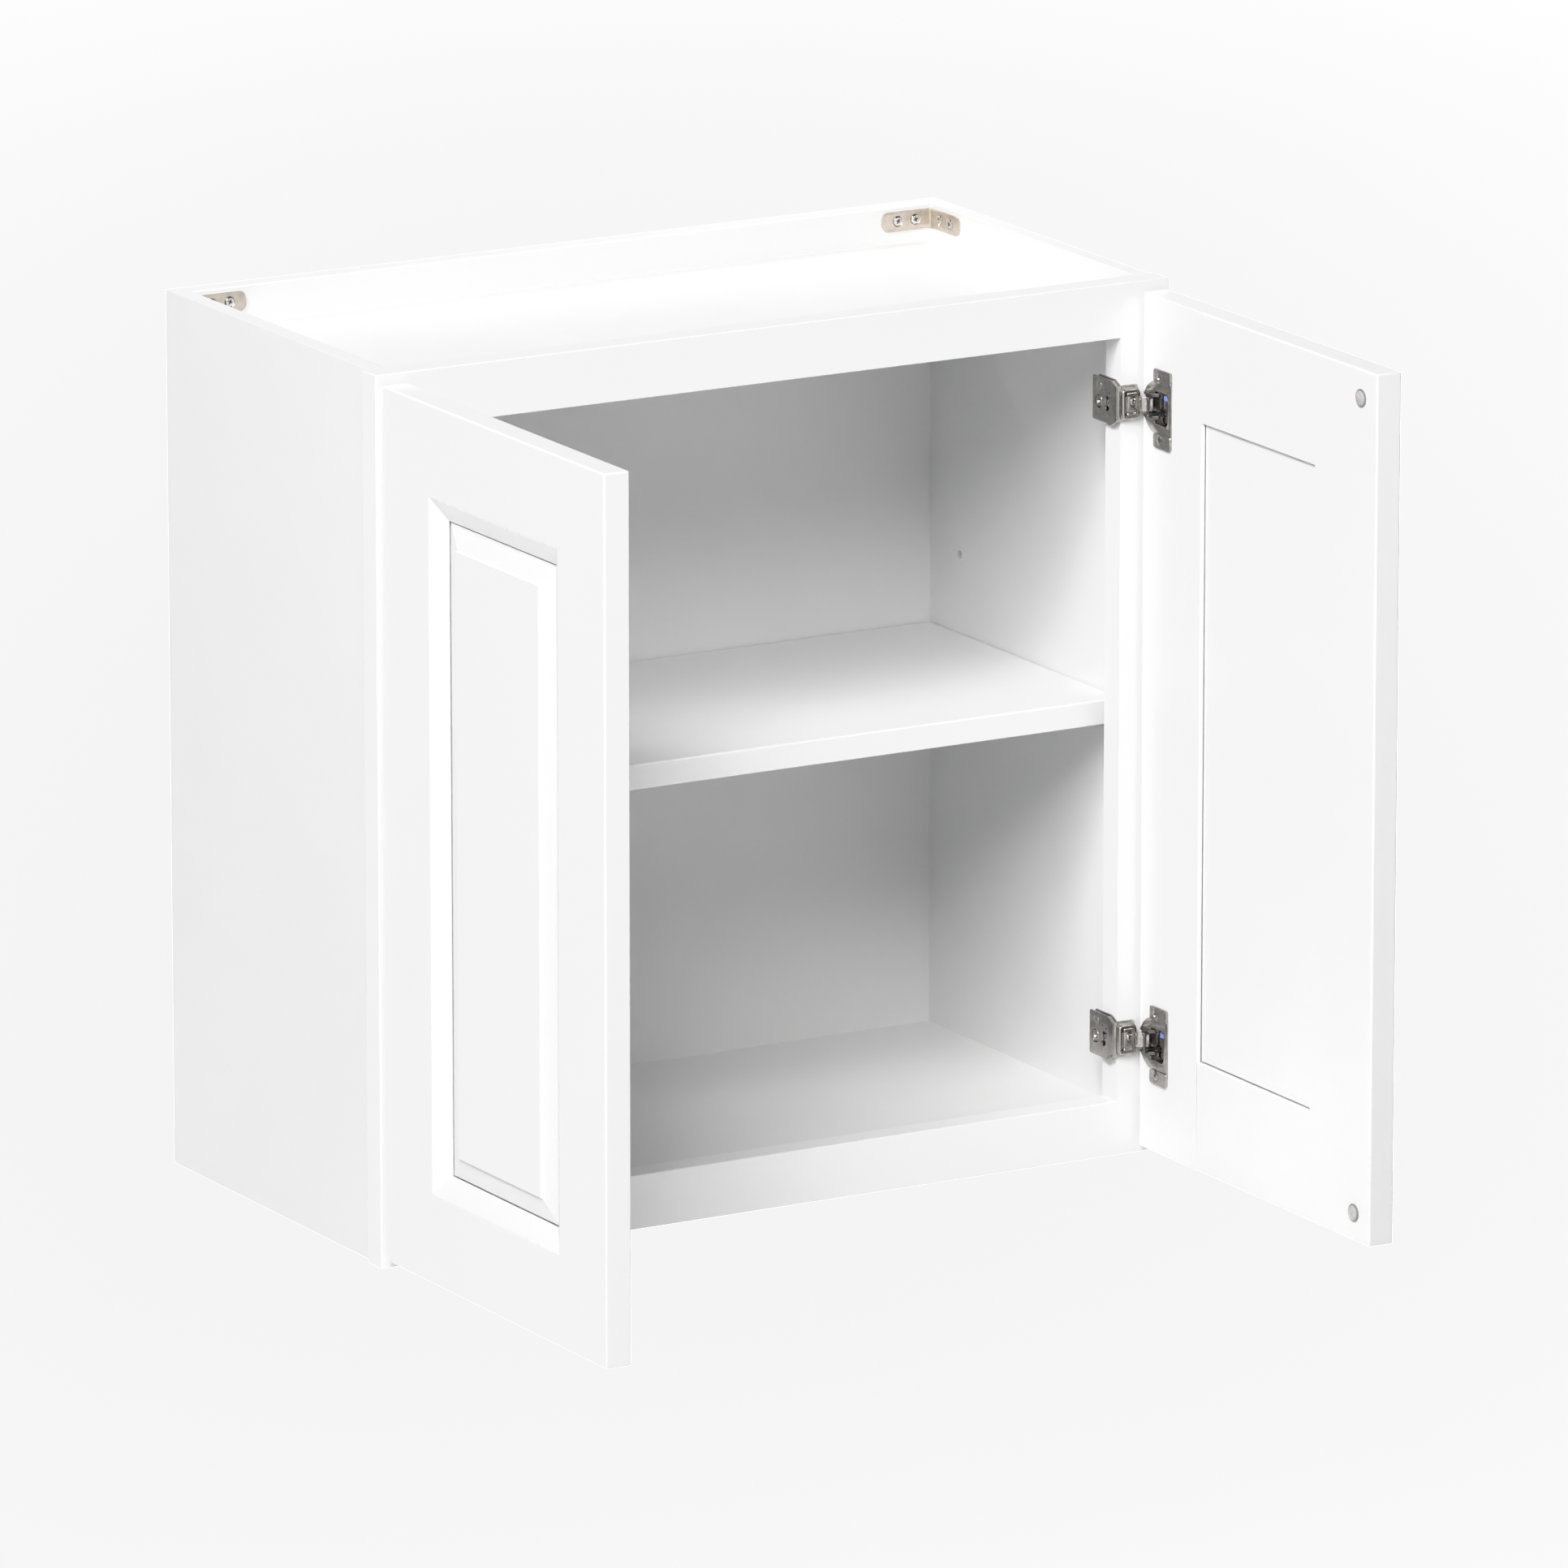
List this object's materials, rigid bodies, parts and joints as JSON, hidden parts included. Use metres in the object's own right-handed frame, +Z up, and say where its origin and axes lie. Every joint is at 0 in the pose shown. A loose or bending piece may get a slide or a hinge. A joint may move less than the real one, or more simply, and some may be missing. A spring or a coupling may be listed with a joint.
{
  "type": "hanging wall cabinet",
  "caption": "Square hanging wall cabinet with a face frame, two raised-panel doors on concealed hinges and a height-adjustable shelf.",
  "frame": {"origin": "middle of the back face, in the plane of the wall, at the cabinet's mid-height", "axes": "+X to the right as seen from the front, +Y towards the wall, +Z up; the doors open towards -Y"},
  "size_m": [0.6096, 0.605, 0.6096],
  "materials": {
    "painted_wood": "satin white paint",
    "nickel": "satin nickel plate",
    "zinc": "bright zinc plate",
    "damper": "moulded dark grey",
    "bumper": "soft clear grey"
  },
  "bodies": {
    "cabinet": {"side_left": "painted_wood", "side_right": "painted_wood", "back_panel": "painted_wood", "top_panel": "painted_wood", "bottom_panel": "painted_wood", "frame_stile_left": "painted_wood", "frame_stile_right": "painted_wood", "frame_rail_top": "painted_wood", "frame_rail_bottom": "painted_wood", "shelf_pin_left_front": "zinc", "shelf_pin_left_back": "zinc", "shelf_pin_right_front": "zinc", "shelf_pin_right_back": "zinc", "corner_bracket_left": "nickel", "corner_screw_left_side_1": "zinc", "corner_screw_left_side_2": "zinc", "corner_screw_left_back_1": "zinc", "corner_screw_left_back_2": "zinc", "corner_bracket_right": "nickel", "corner_screw_right_side_1": "zinc", "corner_screw_right_side_2": "zinc", "corner_screw_right_back_1": "zinc", "corner_screw_right_back_2": "zinc", "left_top_hinge_bracket": "nickel", "left_top_hinge_pin": "zinc", "left_bottom_hinge_bracket": "nickel", "left_bottom_hinge_pin": "zinc", "right_top_hinge_bracket": "nickel", "right_top_hinge_pin": "zinc", "right_bottom_hinge_bracket": "nickel", "right_bottom_hinge_pin": "zinc"},
    "shelf": {"shelf": "painted_wood"},
    "left_top_hinge_link": {"left_top_hinge_link": "nickel"},
    "left_bottom_hinge_link": {"left_bottom_hinge_link": "nickel"},
    "left_door": {"left_door_stile_hinge": "painted_wood", "left_door_stile_free": "painted_wood", "left_door_rail_top": "painted_wood", "left_door_rail_bottom": "painted_wood", "left_door_panel": "painted_wood", "left_bumper_top": "bumper", "left_bumper_bottom": "bumper", "left_top_hinge_cup": "nickel", "left_top_hinge_damper": "damper", "left_bottom_hinge_cup": "nickel", "left_bottom_hinge_damper": "damper"},
    "right_top_hinge_link": {"right_top_hinge_link": "nickel"},
    "right_bottom_hinge_link": {"right_bottom_hinge_link": "nickel"},
    "right_door": {"right_door_stile_hinge": "painted_wood", "right_door_stile_free": "painted_wood", "right_door_rail_top": "painted_wood", "right_door_rail_bottom": "painted_wood", "right_door_panel": "painted_wood", "right_bumper_top": "bumper", "right_bumper_bottom": "bumper", "right_top_hinge_cup": "nickel", "right_top_hinge_damper": "damper", "right_bottom_hinge_cup": "nickel", "right_bottom_hinge_damper": "damper"}
  },
  "joints": [
    {"name": "shelf_lift", "type": "slide", "parent": "cabinet", "child": "shelf", "axis": [0, 0, 1], "range_m": [0, 0.0762]},
    {"name": "left_door_hinge", "type": "hinge", "parent": "cabinet", "child": "left_door", "pos_m": [-0.2902, -0.3162, -0.0005], "axis": [0, 0, 1], "range_deg": [-15, 90]},
    {"name": "left_top_hinge_link_turn", "type": "hinge", "parent": "cabinet", "child": "left_top_hinge_link", "pos_m": [-0.2902, -0.3162, 0.2217], "axis": [0, 0, 1], "range_deg": [-8, 46]},
    {"name": "left_bottom_hinge_link_turn", "type": "hinge", "parent": "cabinet", "child": "left_bottom_hinge_link", "pos_m": [-0.2902, -0.3162, -0.2227], "axis": [0, 0, 1], "range_deg": [-8, 46]},
    {"name": "right_door_hinge", "type": "hinge", "parent": "cabinet", "child": "right_door", "pos_m": [0.2902, -0.3162, -0.0005], "axis": [0, 0, -1], "range_deg": [-15, 90]},
    {"name": "right_top_hinge_link_turn", "type": "hinge", "parent": "cabinet", "child": "right_top_hinge_link", "pos_m": [0.2902, -0.3162, 0.2217], "axis": [0, 0, -1], "range_deg": [-8, 46]},
    {"name": "right_bottom_hinge_link_turn", "type": "hinge", "parent": "cabinet", "child": "right_bottom_hinge_link", "pos_m": [0.2902, -0.3162, -0.2227], "axis": [0, 0, -1], "range_deg": [-8, 46]}
  ],
  "couplings": [
    {"joint": "left_top_hinge_link_turn", "follows": "left_door_hinge", "ratio": 0.5},
    {"joint": "left_bottom_hinge_link_turn", "follows": "left_door_hinge", "ratio": 0.5},
    {"joint": "right_top_hinge_link_turn", "follows": "right_door_hinge", "ratio": 0.5},
    {"joint": "right_bottom_hinge_link_turn", "follows": "right_door_hinge", "ratio": 0.5}
  ]
}
